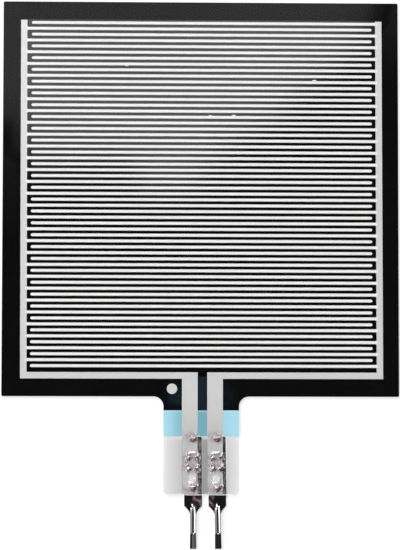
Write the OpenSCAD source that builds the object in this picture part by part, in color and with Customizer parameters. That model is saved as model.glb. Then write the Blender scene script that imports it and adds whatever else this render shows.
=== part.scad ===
// Thin film pressure sensor: a square printed film with a short tail and two crimped pins.
// It lies on its rear film. The origin is the middle of the square on the rear face.
// X runs to the right, Y away from the tail and Z up out of the printed side. Millimetres.

/* [Film outline] */

// Width of the square film
film_w = 40; // [24:0.5:60]
// Height of the square film, without its tail
film_h = 40; // [24:0.5:60]
// Radius of the square's corners
film_corner_r = 0.15; // [0.05:0.05:2]
// Width of the tail
tail_w = 7.6; // [7:0.1:10]
// Length of the front film's tail beyond the square
tail_len = 9.9; // [9:0.1:20]
// Length of the rear film's tail beyond the square
rear_tail_len = 1.4; // [1.2:0.1:2.5]
// How far right of the square's middle the tail is cut
tail_x = 0.07; // [-0.3:0.01:0.3]
// Radius where the tail runs into the square
tail_fillet_r = 1; // [0.3:0.1:1.2]
// Radius of the corners at the tail's end
tail_corner_r = 0.5; // [0.1:0.1:1.5]

/* [Layers] */

// Thickness of the rear film
rear_film_t = 0.125; // [0.1:0.005:0.2]
// Thickness of the black coating on the rear film
carbon_t = 0.015; // [0.01:0.005:0.04]
// Thickness of the adhesive that spaces the films
spacer_t = 0.08; // [0.075:0.005:0.15]
// Thickness of the printed silver
silver_t = 0.02; // [0.01:0.005:0.03]
// Thickness of the blue insulating ink below the silver
insulation_t = 0.015; // [0.01:0.005:0.03]
// Thickness of the front film
front_film_t = 0.125; // [0.1:0.005:0.2]

/* [Printed fingers] */

// Width of one printed finger
finger_w = 0.34; // [0.2:0.01:0.4]
// Distance from one finger's middle to the next one's
finger_pitch = 0.6; // [0.5:0.02:1.2]
// Width of the rails that feed the fingers
rail_w = 0.65; // [0.5:0.05:1]
// Gap between a finger's free end and the other rail
tip_gap = 0.4; // [0.2:0.05:0.8]
// Gap between the last finger and the bottom rail
last_gap = 0.48; // [0.2:0.02:0.8]
// Bare film left and right of the rails
side_margin = 1.71; // [1.2:0.01:3]
// Bare film above the first finger
top_margin = 1.95; // [1.2:0.01:3]
// Least bare film below the bottom rail
bottom_margin = 1.77; // [1.4:0.01:3]
// How far a rail reaches above the first finger
rail_over = 0.08; // [0.02:0.01:0.2]
// How far right of the square's middle the fingers are printed
print_x = 0.1; // [-0.3:0.01:0.3]

/* [Traces, dot and band] */

// Width of one trace on the tail
trace_w = 1.58; // [1.4:0.01:1.8]
// Distance between the middles of the two traces
trace_pitch = 2.54; // [2.4:0.01:2.6]
// How far right of the square's middle the pair of traces is printed
trace_x = 0.19; // [-0.3:0.01:0.3]
// Bare film between a trace and the tail's end
trace_end_gap = 0.12; // [0.05:0.01:0.5]
// Diameter of the marker dot
dot_d = 1.04; // [0.5:0.01:1.1]
// Gap between the dot's edge and the left trace
dot_gap = 0.48; // [0.2:0.01:0.8]
// Height of the dot's middle above the square's lower edge
dot_y = 0.77; // [0.7:0.01:0.85]
// How far above the square's lower edge the blue band starts
band_up = 2; // [1.9:0.05:2.05]
// Gap between the blue band's end and the contacts' plates
band_gap = 0.05; // [0.05:0.05:1]

/* [Spacer] */

// How far the spacer's window reaches under the rails
window_under = 0.3; // [0.1:0.05:0.4]
// How far the window reaches above the first finger
window_over = 0.15; // [0.1:0.05:0.5]
// Width of the air vent between the traces
vent_w = 0.6; // [0.3:0.05:0.8]

/* [Crimp contacts] */

// Thickness of the contact's sheet metal
sheet_t = 0.2; // [0.15:0.01:0.2]
// Width of the contact's plate
plate_w = 1.75; // [1.7:0.01:1.9]
// How far up from the film's end the plate reaches
plate_up = 5.85; // [5:0.05:6.5]
// Radius of the plate's upper corners
plate_corner_r = 0.15; // [0.05:0.05:0.3]
// Length of full width plate below the film's end
plate_down = 1.06; // [0.5:0.02:2]
// How far right of its trace each contact is crimped
contact_shift = 0.31; // [0:0.01:0.35]
// Lean of the left contact, in degrees
lean_left = 0.2; // [-1:0.1:1]
// Lean of the right contact, in degrees
lean_right = 1; // [-1:0.1:1]

/* [Claws] */

// Thickness of a claw
claw_t = 0.16; // [0.12:0.01:0.2]
// Inner radius of a side claw's curl
curl_r = 0.1; // [0.06:0.01:0.12]
// Inner radius of a tongue's bend
tongue_bend_r = 0.04; // [0.02:0.01:0.08]
// Width of a side claw where it comes through the film
side_claw_w = 0.62; // [0.4:0.02:0.7]
// Width of a side claw's tip
side_tip_w = 0.14; // [0.06:0.02:0.3]
// Distance of a side claw's middle from the contact's middle line
side_claw_x = 0.55; // [0.45:0.01:0.6]
// Height of the upper pair of side claws above the film's end
upper_pair_y = 3.75; // [3.6:0.05:4.2]
// Height of the lower pair of side claws above the film's end
lower_pair_y = 2.68; // [2.3:0.02:2.7]
// Width of a tongue where it comes through the film
tongue_w = 0.76; // [0.5:0.02:0.9]
// Width of a tongue's tip
tongue_tip_w = 0.12; // [0.06:0.02:0.3]
// How far a tongue lies along the film
tongue_run = 0.56; // [0.4:0.02:0.7]
// Height of the lower tongue above the film's end
lower_tongue_y = 1.05; // [0.9:0.05:1.4]
// Clearance round a claw in its slit
slit_clearance = 0.02; // [0.01:0.01:0.04]
// Clearance left round a claw in the plate's cut-out
cutout_clearance = 0.05; // [0.02:0.01:0.1]

/* [Pins] */

// Width of the folded pin
pin_w = 0.62; // [0.5:0.02:0.8]
// Height of the folded pin
pin_h = 0.48; // [0.42:0.02:0.6]
// Width of the seam along the pin
seam_w = 0.1; // [0.04:0.01:0.16]
// Radius of the folded sheet's outer bends
fold_r = 0.12; // [0.05:0.01:0.15]
// Distance from the film's end to the start of the fold
fold_start = 0.85; // [0.4:0.05:0.95]
// Length over which the fold rises
fold_rise = 0.4; // [0.2:0.05:0.8]
// Distance from the film's end to the end of the fold
fold_end = 3.9; // [3:0.1:6]
// Length over which the fold is pressed flat
coin_run = 0.15; // [0.05:0.05:0.4]
// Thickness of the flattened tip
coin_t = 0.26; // [0.2:0.02:0.3]
// Width of the flattened tip at its end
coin_w = 0.66; // [0.5:0.02:0.8]
// Length of the flattened tip
coin_len = 1.3; // [0.8:0.05:3]

/* [Hidden] */

$fn = 48;
// Overlap that joins neighbours, how far joints and cuts run on, and more than any height
eps = 0.01;
spare = 1;
tall = 5;

z_carbon = rear_film_t;
z_spacer = z_carbon + carbon_t;
z_front = z_spacer + spacer_t;
z_silver = z_front - silver_t;
z_band = z_silver - insulation_t;
z_top = z_front + front_film_t;

square_bottom = -film_h / 2;
tail_end = square_bottom - tail_len;

left_out = -film_w / 2 + side_margin + print_x;
right_out = film_w / 2 - side_margin + print_x;
left_in = left_out + rail_w;
right_in = right_out - rail_w;
fingers_top = film_h / 2 - top_margin;
first_y = fingers_top - finger_w / 2;
room = film_h - top_margin - bottom_margin - rail_w - last_gap - finger_w;
right_count = floor(room / (2 * finger_pitch) + eps) + 1;
left_count = right_count - 1;
last_y = first_y - 2 * finger_pitch * (right_count - 1);
run_top = last_y - finger_w / 2 - last_gap;
run_bottom = run_top - rail_w;
left_trace_x = trace_x - trace_pitch / 2;
right_trace_x = trace_x + trace_pitch / 2;
trace_end = tail_end + trace_end_gap;
dot_x = left_trace_x - trace_w / 2 - dot_gap - dot_d / 2;
band_top = square_bottom + band_up;
band_end = tail_end + plate_up + band_gap;

z_plate = z_silver - sheet_t;
curl_out = curl_r + claw_t;
tongue_out = tongue_bend_r + claw_t;
claw_low = z_plate + sheet_t / 2;
coin_z = z_plate + (pin_h - coin_t) / 3;
pin_end = fold_end + coin_run + coin_len;
wall_w = (pin_w - seam_w) / 2;
lip_r = wall_w / 2;
shoulder_run = (plate_w - pin_w) / 2;

// Which node is drawn

// Rectangle with four rounded corners, about its middle
module rounded(w, h, r) {
  square([w - 2 * r, h], center = true);
  square([w, h - 2 * r], center = true);
  for (sx = [-1, 1], sy = [-1, 1]) {
    translate([sx * (w / 2 - r), sy * (h / 2 - r)]) circle(r = r);
  }
}

// Round inner corner at the tail's root, on one side
module root_fillet(side) {
  translate([tail_x + side * tail_w / 2, square_bottom]) {
    difference() {
      translate([side > 0 ? -eps : -tail_fillet_r, -tail_fillet_r])
        square([tail_fillet_r + eps, tail_fillet_r + eps]);
      translate([side * tail_fillet_r, -tail_fillet_r]) circle(r = tail_fillet_r);
    }
  }
}

// Outline that both films are cut to, with the tail's length and the radius of its end corners
module outline(len, r) {
  rounded(film_w, film_h, film_corner_r);
  root_fillet(-1);
  root_fillet(1);
  translate([tail_x - tail_w / 2, square_bottom - len + r]) square([tail_w, len - r + spare]);
  translate([tail_x - tail_w / 2 + r, square_bottom - len]) square([tail_w - 2 * r, r + spare]);
  for (side = [-1, 1]) {
    translate([tail_x + side * (tail_w / 2 - r), square_bottom - len + r]) circle(r = r);
  }
}

// Outline of the rear film, whose tail ends square
module rear_outline() {
  rounded(film_w, film_h, film_corner_r);
  root_fillet(-1);
  root_fillet(1);
  translate([tail_x - tail_w / 2, square_bottom - rear_tail_len])
    square([tail_w, rear_tail_len + spare]);
}

// Rail, bottom run and trace of one electrode, as printed
module rails(side) {
  out_x = side < 0 ? left_out : right_out;
  in_x = side < 0 ? left_in : right_in;
  t_x = side < 0 ? left_trace_x : right_trace_x;
  t_in = t_x - side * trace_w / 2;
  translate([min(out_x, in_x), run_bottom])
    square([rail_w, fingers_top + rail_over - run_bottom]);
  translate([min(out_x, t_in), run_bottom]) square([abs(out_x - t_in), rail_w]);
  translate([t_x - trace_w / 2, trace_end]) square([trace_w, run_top - trace_end]);
}

// One finger with a round free end
module finger(side, y) {
  from_x = side < 0 ? left_in - eps : right_in + eps;
  to_x = side < 0 ? right_in - tip_gap - finger_w / 2 : left_in + tip_gap + finger_w / 2;
  translate([min(from_x, to_x), y - finger_w / 2]) square([abs(to_x - from_x), finger_w]);
  translate([to_x, y]) circle(r = finger_w / 2, $fn = 24);
}

// All fingers of one electrode
module fingers(side) {
  count = side < 0 ? left_count : right_count;
  start = side < 0 ? first_y - finger_pitch : first_y;
  for (i = [0 : count - 1]) {
    finger(side, start - 2 * finger_pitch * i);
  }
}

// Area of the blue band, cut off with the tail's edges
module band_area() {
  translate([tail_x - tail_w / 2, band_end]) square([tail_w, band_top - band_end]);
}

// Opening of the spacer over the fingers, with its vent
module window_area() {
  low = run_top - window_under;
  left = left_in - window_under;
  right = right_in + window_under;
  translate([left, low]) square([right - left, fingers_top + window_over - low]);
  translate([trace_x - vent_w / 2, square_bottom - rear_tail_len - spare])
    square([vent_w, low - square_bottom + rear_tail_len + spare + eps]);
}

// Moves its children onto one contact's middle line at the film's end
module on_contact(side) {
  t_x = side < 0 ? left_trace_x : right_trace_x;
  lean = side < 0 ? lean_left : lean_right;
  translate([t_x + contact_shift, tail_end, 0]) rotate([0, 0, lean]) children();
}

// Slits that one contact's claws cut in the film, as flat areas
module slits(side) {
  c = slit_clearance;
  on_contact(side) {
    for (y = [upper_pair_y, lower_pair_y], s = [-1, 1]) {
      translate([s * side_claw_x - claw_t / 2 - c, y - side_claw_w / 2 - c])
        square([claw_t + 2 * c, side_claw_w + 2 * c]);
    }
    for (y = [plate_up, lower_tongue_y]) {
      translate([-tongue_w / 2 - c, y - claw_t - c]) square([tongue_w + 2 * c, claw_t + 2 * c]);
    }
  }
}

// One electrode's silver
module silver(side) {
  translate([0, 0, z_silver]) {
    linear_extrude(height = silver_t) {
      difference() {
        union() {
          rails(side);
          fingers(side);
        }
        slits(side);
      }
    }
  }
}

// Clear front film with its tail
module electrode_film() {
  color([0.86, 0.9, 0.9, 0.45])
    translate([0, 0, z_front])
      linear_extrude(height = front_film_t)
        difference() {
          outline(tail_len, tail_corner_r);
          slits(-1);
          slits(1);
        }
}

// Left comb, rail and trace
module electrode_left() {
  color([0.86, 0.86, 0.84]) silver(-1);
}

// Right comb, rail and trace
module electrode_right() {
  color([0.86, 0.86, 0.84]) silver(1);
}

// Printed dot beside the left trace
module marker_dot() {
  color([0.86, 0.86, 0.84])
    translate([dot_x, square_bottom + dot_y, z_silver])
      cylinder(h = silver_t, r = dot_d / 2);
}

// Blue insulating ink, with the silver let into its upper side
module dielectric_band() {
  color([0.55, 0.82, 0.9])
    difference() {
      translate([0, 0, z_band]) linear_extrude(height = z_front - z_band) band_area();
      translate([0, 0, z_silver])
        linear_extrude(height = silver_t + spare) {
          rails(-1);
          rails(1);
          translate([dot_x, square_bottom + dot_y]) circle(r = dot_d / 2);
        }
    }
}

// Adhesive frame between the films, round the silver and the band
module spacer_adhesive() {
  color([0.75, 0.76, 0.72])
    difference() {
      translate([0, 0, z_spacer])
        linear_extrude(height = spacer_t)
          difference() {
            rear_outline();
            window_area();
          }
      translate([0, 0, z_band]) linear_extrude(height = spacer_t) band_area();
      translate([0, 0, z_silver])
        linear_extrude(height = spacer_t) {
          rails(-1);
          rails(1);
        }
    }
}

// Black coating on the rear film
module carbon_layer() {
  color([0.06, 0.06, 0.065])
    translate([0, 0, z_carbon]) linear_extrude(height = carbon_t) rear_outline();
}

// Rear film
module pressure_film() {
  color([0.12, 0.12, 0.13])
    linear_extrude(height = rear_film_t) rear_outline();
}

// Section of a side claw: a leg through the film and half a ring that bites back onto it
module side_claw_section() {
  translate([side_claw_x - claw_t / 2, claw_low]) square([claw_t, z_top - claw_low]);
  translate([side_claw_x - claw_t / 2 - curl_r, z_top])
    difference() {
      circle(r = curl_out);
      circle(r = curl_r);
      translate([-tall, -2 * tall]) square([2 * tall, 2 * tall]);
    }
}

// Side claw at the right, tapering to its tip
module side_claw(y) {
  leg_in = side_claw_x - claw_t / 2;
  leg_out = side_claw_x + claw_t / 2;
  tip_x = leg_in - curl_r - curl_out;
  translate([0, y, 0])
    intersection() {
      translate([0, side_claw_w / 2, 0])
        rotate([90, 0, 0]) linear_extrude(height = side_claw_w) side_claw_section();
      linear_extrude(height = tall)
        polygon([
          [leg_out + spare, side_claw_w / 2 + eps], [leg_in, side_claw_w / 2 + eps],
          [tip_x, side_tip_w / 2], [tip_x - eps, 0], [tip_x, -side_tip_w / 2],
          [leg_in, -side_claw_w / 2 - eps], [leg_out + spare, -side_claw_w / 2 - eps]
        ]);
    }
}

// Side view of a tongue whose outer face is at zero: a leg, a tight bend and a run along the film
module tongue_section() {
  bend_z = z_top - tongue_bend_r;
  translate([-claw_t, claw_low]) square([claw_t, bend_z - claw_low]);
  translate([-tongue_out, bend_z])
    intersection() {
      difference() {
        circle(r = tongue_out);
        circle(r = tongue_bend_r);
      }
      square([tall, tall]);
    }
  translate([-tongue_run, z_top]) square([tongue_run - tongue_out, claw_t]);
}

// Tongue that comes up at the given height and points to the film's end
module tongue(y) {
  translate([0, y, 0])
    intersection() {
      translate([-tongue_w / 2, 0, 0])
        rotate([90, 0, 90]) linear_extrude(height = tongue_w) tongue_section();
      linear_extrude(height = tall)
        polygon([
          [-tongue_w / 2 - eps, spare], [tongue_w / 2 + eps, spare],
          [tongue_w / 2 + eps, -claw_t], [tongue_tip_w / 2, -tongue_run],
          [-tongue_tip_w / 2, -tongue_run], [-tongue_w / 2 - eps, -claw_t]
        ]);
    }
}

// Plan of the contact's plate down to the pin's root, with the cut-outs that the claws leave
module plate_plan() {
  c = cutout_clearance;
  r = plate_corner_r;
  difference() {
    union() {
      translate([-plate_w / 2, -plate_down]) square([plate_w, plate_up - r + plate_down]);
      translate([-plate_w / 2 + r, 0]) square([plate_w - 2 * r, plate_up]);
      for (s = [-1, 1]) {
        translate([s * (plate_w / 2 - r), plate_up - r]) circle(r = r);
      }
      polygon([
        [-plate_w / 2, -plate_down + eps], [plate_w / 2, -plate_down + eps],
        [plate_w / 2, -plate_down], [pin_w / 2, -plate_down - shoulder_run],
        [-pin_w / 2, -plate_down - shoulder_run], [-plate_w / 2, -plate_down]
      ]);
    }
    for (y = [upper_pair_y, lower_pair_y]) {
      translate([-side_claw_x, y - side_claw_w / 2 - c])
        square([2 * side_claw_x, side_claw_w + 2 * c]);
    }
    translate([-tongue_w / 2 - c, lower_tongue_y - claw_t / 2 - tongue_run - claw_t])
      square([tongue_w + 2 * c, tongue_run + claw_t]);
  }
}

// Section of the folded pin, with its seam on top
module pin_section() {
  translate([-pin_w / 2 + fold_r, 0]) square([pin_w - 2 * fold_r, sheet_t]);
  translate([-pin_w / 2, fold_r]) square([pin_w, sheet_t - fold_r]);
  for (s = [-1, 1]) {
    translate([s * (pin_w / 2 - fold_r), fold_r]) circle(r = fold_r);
    translate([s * (pin_w / 2 - lip_r) - lip_r, fold_r]) square([wall_w, pin_h - lip_r - fold_r]);
    translate([s * (pin_w / 2 - lip_r), pin_h - lip_r]) circle(r = lip_r);
  }
}

// Folded pin, rising out of the plate and pressed flat towards its tip
module folded_pin() {
  coin_low = coin_z - z_plate;
  intersection() {
    translate([0, -fold_start, 0])
      rotate([90, 0, 0])
        linear_extrude(height = fold_end + coin_run - fold_start) pin_section();
    translate([-tall, 0, 0])
      rotate([90, 0, 90])
        linear_extrude(height = 2 * tall)
          polygon([
            [-fold_start + eps, 0], [-fold_start + eps, sheet_t], [-fold_start, sheet_t],
            [-fold_start - fold_rise, pin_h + eps], [-fold_end, pin_h + eps],
            [-fold_end - coin_run, coin_low + coin_t], [-fold_end - coin_run - eps, coin_low],
            [-fold_end, 0]
          ]);
  }
}

// Flattened tip of the pin
module coined_tip() {
  from_y = -fold_end - coin_run / 2;
  translate([0, 0, coin_z - z_plate])
    linear_extrude(height = coin_t)
      polygon([
        [-pin_w / 2 + seam_w / 2, from_y], [pin_w / 2 - seam_w / 2, from_y],
        [coin_w / 2, -pin_end], [-coin_w / 2, -pin_end]
      ]);
}

// One whole contact
module contact(side) {
  on_contact(side) {
    translate([0, 0, z_plate]) {
      linear_extrude(height = sheet_t) plate_plan();
      folded_pin();
      coined_tip();
    }
    for (y = [upper_pair_y, lower_pair_y]) {
      side_claw(y);
      mirror([1, 0, 0]) side_claw(y);
    }
    tongue(plate_up);
    tongue(lower_tongue_y);
  }
}

// Contact on the left trace
module contact_left() {
  color([0.62, 0.58, 0.58]) contact(-1);
}

// Contact on the right trace
module contact_right() {
  color([0.62, 0.58, 0.58]) contact(1);
}

electrode_film();
electrode_left();
electrode_right();
marker_dot();
dielectric_band();
spacer_adhesive();
carbon_layer();
pressure_film();
contact_left();
contact_right();
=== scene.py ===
"""Thin film pressure sensor: printed combs under a clear film, with two crimped pins."""

import math
from functools import partial, reduce

import bmesh
import bpy
from mathutils import Matrix, Vector, noise
from mathutils.geometry import delaunay_2d_cdt


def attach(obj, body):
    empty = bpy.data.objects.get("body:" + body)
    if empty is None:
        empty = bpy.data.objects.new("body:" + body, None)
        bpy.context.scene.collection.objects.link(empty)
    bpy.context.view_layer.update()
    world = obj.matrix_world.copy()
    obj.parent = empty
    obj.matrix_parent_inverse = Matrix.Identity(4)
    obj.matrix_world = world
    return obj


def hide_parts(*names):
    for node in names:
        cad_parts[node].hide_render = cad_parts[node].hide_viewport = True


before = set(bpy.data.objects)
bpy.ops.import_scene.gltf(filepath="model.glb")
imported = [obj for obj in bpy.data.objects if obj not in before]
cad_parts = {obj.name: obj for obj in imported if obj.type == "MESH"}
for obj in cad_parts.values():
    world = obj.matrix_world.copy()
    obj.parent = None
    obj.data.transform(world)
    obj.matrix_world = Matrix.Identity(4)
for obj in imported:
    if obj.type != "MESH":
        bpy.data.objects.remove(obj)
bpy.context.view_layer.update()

# Sizes and places in millimetres, along the frame's axes. Meshes are scaled to metres when made
MM = 0.001

# Film outline
FILM_HALF = 20
FILM_CORNER = 0.15
TAIL_W = 7.6
TAIL_LEN = 9.9
TAIL_X = 0.07
TAIL_FILLET = 1
TAIL_CORNER = 0.5
TAIL_END = -FILM_HALF - TAIL_LEN
TAIL_SIDES = (TAIL_X - TAIL_W / 2, TAIL_X + TAIL_W / 2)
REAR_TAIL_END = -21.4
BAND_END = -24.0

# Levels of the layers
Z_SILVER = 0.2
Z_FRONT = 0.22
Z_TOP = 0.345
HAIR = 0.002

# Film and silver: width of the painted highlight along the film's cut end, grids, bevels and gaps round the
# claws, and a sharp edge's turn
END_GLINT_W = 0.12
FILM_GRID = 0.05
FILM_BEVEL = 0.012
FILM_SLIT_GAP = 0.015
SILVER_GRID = 0.07
SILVER_BEVEL = 0.005
SILVER_SLIT_GAP = 0.03
SHARP_TURN = math.radians(35)

# Printed combs
FINGER_W = 0.34
FINGER_PITCH = 0.6
FIRST_FINGER_Y = 17.862
FINGER_COUNT = (29, 30)
TIP_GAP = 0.4
ROOT_OVERLAP = 0.12
FINGER_WOBBLE = 0.015
FINGER_UNEVEN = 0.08
LINE_POINTS = 130
END_POINTS = 8
RAIL_W = 0.65
RAIL_OUT = (-18.19, 18.39)
RAIL_DRIFT = ((-0.05, 0.06), (-0.04, 0.01))
RAIL_TOP = 18.13
RAIL_STEP = 0.3
RAIL_WAVE = (0.012, 0.5)
RUN_TOP = -17.57
RUN_BOTTOM = -18.22
TRACE_W = 1.58
TRACE_X = (-1.08, 1.46)
TRACE_END = TAIL_END + 0.12
OUTER_EDGES = (TRACE_X[0] - TRACE_W / 2, TRACE_X[1] + TRACE_W / 2)
INNER_EDGES = (TRACE_X[0] + TRACE_W / 2, TRACE_X[1] - TRACE_W / 2)

# Drops of silver at fingers' edges, painted highlights where the film bulges: half height and level, then
# place, half sizes and electrode
DROP_H = 0.009
DROP_UP = 0.0095
GLINT_DROPS = (
    (-7.5, 13.51, 0.22, 0.065, 0), (11.5, 12.05, 0.24, 0.075, 1),
    (3.33, 8.45, 0.24, 0.07, 1), (0.95, 8.44, 0.2, 0.04, 1),
)

# Crimp contacts: middle line at the film's end and lean in degrees
CONTACT_X = (-0.74, 1.75)
CONTACT_LEAN = (0.2, 1)
LEAN_TURNS = [(math.cos(lean), math.sin(lean)) for lean in map(math.radians, CONTACT_LEAN)]
SHEET_T = 0.2
SHEET_BEVEL = 0.02
PLATE_W = 1.79
PLATE_UP = 5.85
PLATE_LOW = 0.2
PLATE_DOWN = 1.06
PLATE_CORNER = 0.15
PIN_W = 0.62
PIN_SHIFT = (0, -0.05)
FOLD_START = 1.08
FOLD_RISE = 0.1
FOLD_END = 3.75
NOTCH_W = 0.19
NOTCH_SPREAD = 0.2
SPUR_X = (-0.08, 0.0)
SPUR_RUN = (0.88, 1.18)
SPUR_SLOPE = 0.36
LEFT_LIP_X = -0.05
LEFT_LIP_LATE = 0.18
COIN_RUN = 0.15
COIN_LEN = 1.45
COIN_W = 0.66
COIN_Z = 0.073
COIN_T = 0.26
PIN_END = FOLD_END + COIN_RUN + COIN_LEN
PIN_BEVEL = 0.025
SHOULDER_RUN = 0.12
SHOULDER_POWER = 1.12

# Rounding of a pin's end: its length, and how much narrower and thinner it gets
TIP_ROUND = 0.06
TIP_NARROWER = 0.05
TIP_THINNER = 0.04

# Top of a folded pin: place across it and height, from its left edge to its right one
PIN_TOP = (
    (-0.31, 0.3), (-0.3095, 0.35), (-0.309, 0.413), (-0.27, 0.4219), (-0.23, 0.431), (-0.19, 0.4401),
    (-0.15, 0.4492), (-0.115, 0.4572), (-0.106, 0.4588), (-0.0985, 0.456), (-0.09, 0.45),
    (-0.05, 0.4235), (-0.006, 0.394), (0.0, 0.28), (0.05, 0.28), (0.056, 0.376), (0.09, 0.381),
    (0.122, 0.3858), (0.134, 0.39), (0.16, 0.4008), (0.172, 0.4057), (0.18, 0.4081), (0.19, 0.4104),
    (0.24, 0.4222), (0.288, 0.4335), (0.296, 0.4345), (0.303, 0.42), (0.306, 0.38), (0.309, 0.34),
    (0.31, 0.3),
)

# Claws, in each contact's own frame: X across it, Y up the tail from the film's end
SLIT_POINTS = 28
CLAW_T = 0.13
CLAW_SIDES = 24
CLAW_BASE = 0.1
CLAW_FOOT = Z_TOP + 0.02
LEG_STEPS = 6
CROWN = 0.3
SIDE_CLAW_X = 0.55
SIDE_CLAW_W = 0.6
UPPER_PAIR_Y = 3.75
LOWER_PAIR_Y = 2.68
TONGUE_W = 0.74
TONGUE_BEND = 0.045
LOWER_TONGUE_Y = 0.97
CLAW_UP = 0.13
CLAW_TOP = 0.605
CLAW_SOFT = 0.08
CLAW_CRINKLE = 0.06
CLAW_RAGGED = 0.05
TEETH_PACE = 4.4

# Pressed ridges, upper and lower: the first two by contact, the others by ridge
RIDGE_U = (-0.04, -0.13)
RIDGE_Y = (4.2, 1.12)
RIDGE_HALF = 0.35
RIDGE_H = 0.085
RIDGE_SLOPE = (0.12, 0.34)
RIDGE_FALL = (0.09, 0.08)
# How white the film over each ridge is painted, as highlight and stress whitening: whiteness, rise and half
# height
RIDGE_GLINT = ((0.8, 0.11, 0.1), (1.25, 0.54, 0.32))

# Film pushed up round each slit, and crinkled and swollen over the crimped area
RIM_H = 0.045
RIM_REACH = 0.12
CRINKLE = 0.014
SWELL = 0.014

# Painted white highlights at the silver's torn right edge: place across and up the tail, and half length
TORN_EDGE = (
    (0.61, 5.96, 0.06), (0.27, 6.13, 0.06), (0.49, 4.14, 0.13), (0.52, 3.68, 0.13),
    (0.57, 2.96, 0.08), (0.48, 2.72, 0.09), (0.52, 2.38, 0.08), (0.47, 1.04, 0.11),
)

# How far round a contact the claws lift the film, whiten it with painted highlights and stress, and paint a
# pinkish reflection and shade on the silver: half width, lower and upper end
LIFT_AREA = (1.4, -0.2, 6.8)
GLINT_AREA = (1.2, 0, 6.6)
PINK_REFLECTION_AREA = (1.6, -0.4, 7)

# Fine grid over the crimped area: left and lower edge, width and height
CRIMP_AREA = (-1.2, 0.1, 2.4, 6.7)

# Humps over the crimped area: height, place across and up the tail, and half sizes.
# They say where the film is most crinkled, where it is painted white as highlight and stress whitening, and
# where the silver takes a painted pinkish reflection of the claws' metal and painted shade
WORKED = ((1, 0, 3.3, 0.8, 0.9), (1, 0, 5.7, 0.6, 0.3), (1, 0, 0.8, 0.6, 0.35))
WHITE_GLINTS = [(0.9, -0.22, 1.28, 0.3, 0.09)] + [(1.2, u, v, 0.06, half) for u, v, half in TORN_EDGE]
PINK_REFLECTIONS = (
    (1.1, -0.08, 5.95, 0.8, 0.4), (0.7, 0, 5.45, 0.7, 0.25), (1, 0, 3.75, 1.2, 0.42),
    (1, 0, 2.85, 1.2, 0.38), (0.6, -0.68, 3.35, 0.22, 0.9), (1, 0, 0.6, 1.2, 0.4),
)

# Each side claw: contact, side, pair, reach inwards, drift up the tail, width, twist, bareness of its tip,
# which paints it maroon as exposed bronze and as painted shade
SIDE_CLAWS = (
    (0, -1, UPPER_PAIR_Y, 0.28, 0.02, 0.44, 22, 0.5), (0, 1, UPPER_PAIR_Y, 0.33, 0.02, 0.56, 40, 0.5),
    (0, -1, LOWER_PAIR_Y, 0.34, -0.1, 0.4, 16, 1.3), (0, 1, LOWER_PAIR_Y, 0.37, -0.06, 0.52, 32, 1.05),
    (1, -1, UPPER_PAIR_Y, 0.3, 0.02, 0.46, 24, 0.5), (1, 1, UPPER_PAIR_Y, 0.33, 0.04, 0.56, 42, 0.4),
    (1, -1, LOWER_PAIR_Y, 0.34, -0.06, 0.48, 28, 1.0), (1, 1, LOWER_PAIR_Y, 0.34, -0.14, 0.78, 45, 1.4),
)

# Each tongue: place, run towards the film's end, slant, width left at its tip, depth of its teeth,
# fork, bareness, which paints it maroon as exposed bronze and as painted shade, and where its bend shines,
# from -1 to 1 across it
TONGUES = (
    (PLATE_UP - 0.04, 0.24, 0.0, 0.6, 0.24, 0, 0.72, (0.3,)),
    (LOWER_TONGUE_Y, 0.47, -0.02, 0.18, 0.02, 1, 1.3, (-0.62, 0.12, 0.4)),
)

# Burr at the root of the right contact's lower right claw: places and widths, and thickness
BURR = (
    (0.36, 2.58, 0.42, 0.12), (0.48, 2.58, 0.43, 0.24), (0.61, 2.5, 0.425, 0.25),
    (0.71, 2.41, 0.4, 0.19), (0.79, 2.33, 0.37, 0.07),
)
BURR_T = 0.06

# Painted pinkish reflection on the plates below the film: its middle across them, and its lower and upper
# end
PLATE_REFLECTION_X = 0.23
PLATE_REFLECTION_Y = (-31.3, -29.85)

# Where the pins' flattened tips start to be duller
TIP_Y = -33.6

# Where a contact's plate shows beside its trace, through the film
STRIPS = ((-0.29, 0.16), (2.25, 2.66))

# Painted shadow beside the traces: how far it reaches, and its share at the trace, left and right
SHADOW_REACH = (1.8, 1.3)
SHADOW_SHARE = (0.62, 0.12)

# Camera fitted to the photograph, in millimetres and radians, and the picture's scale
CAMERA_AT = (-8.266, -31.064, 297.07)
CAMERA_TURN = (0.0783, -0.0277, 0.0012)
CAMERA_LENS = 193.42
PICTURE_MIDDLE = (200.9, 198.6)
PIXELS_PER_MM = 9.95

# Light cards: height, border, step, levels, fade, and the large one's outline in the picture
CARD_HEIGHT = 600.0
CARD_SOFT = 8.0
CARD_STEP = 25
CARD_LEVELS = (0.42, 0.54)
CARD_FADE = ((-CARD_SOFT, 0.0), (-CARD_SOFT / 2, 0.25), (0.0, 0.75), (CARD_SOFT, 1.0))
CARD_OUTLINE = (
    (-60, 112), (14, 112), (26, 140), (34, 148), (128, 150), (140, 160), (150, 178), (185, 178),
    (194, 168), (203, 156), (211, 144), (230, 132), (248, 120), (268, 108), (277, 96), (290, 84),
    (306, 72), (322, 60), (338, 48), (352, 34), (366, 8), (384, -60), (-60, -60),
)

# Faint glows in the borders: height, then columns (place across the picture, share) and rows
# (place down it, share)
GLOW_HEIGHT = CARD_HEIGHT + 5
EDGE_GLOWS = (
    (((-60, 1), (12, 1), (26, 0)), ((125, 0), (152, 0.22), (172, 0.16), (205, 0.08), (245, 0))),
    (((378, 0), (386, 1), (460, 1)), ((-60, 0.25), (20, 0.25), (60, 0.05), (100, 0.03), (130, 0))),
)

# Floor: half its side in metres, its gap below the part in millimetres, and its glow
FLOOR_HALF = 2
FLOOR_GAP = 0.02
FLOOR_GLOW = 0.67

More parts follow.
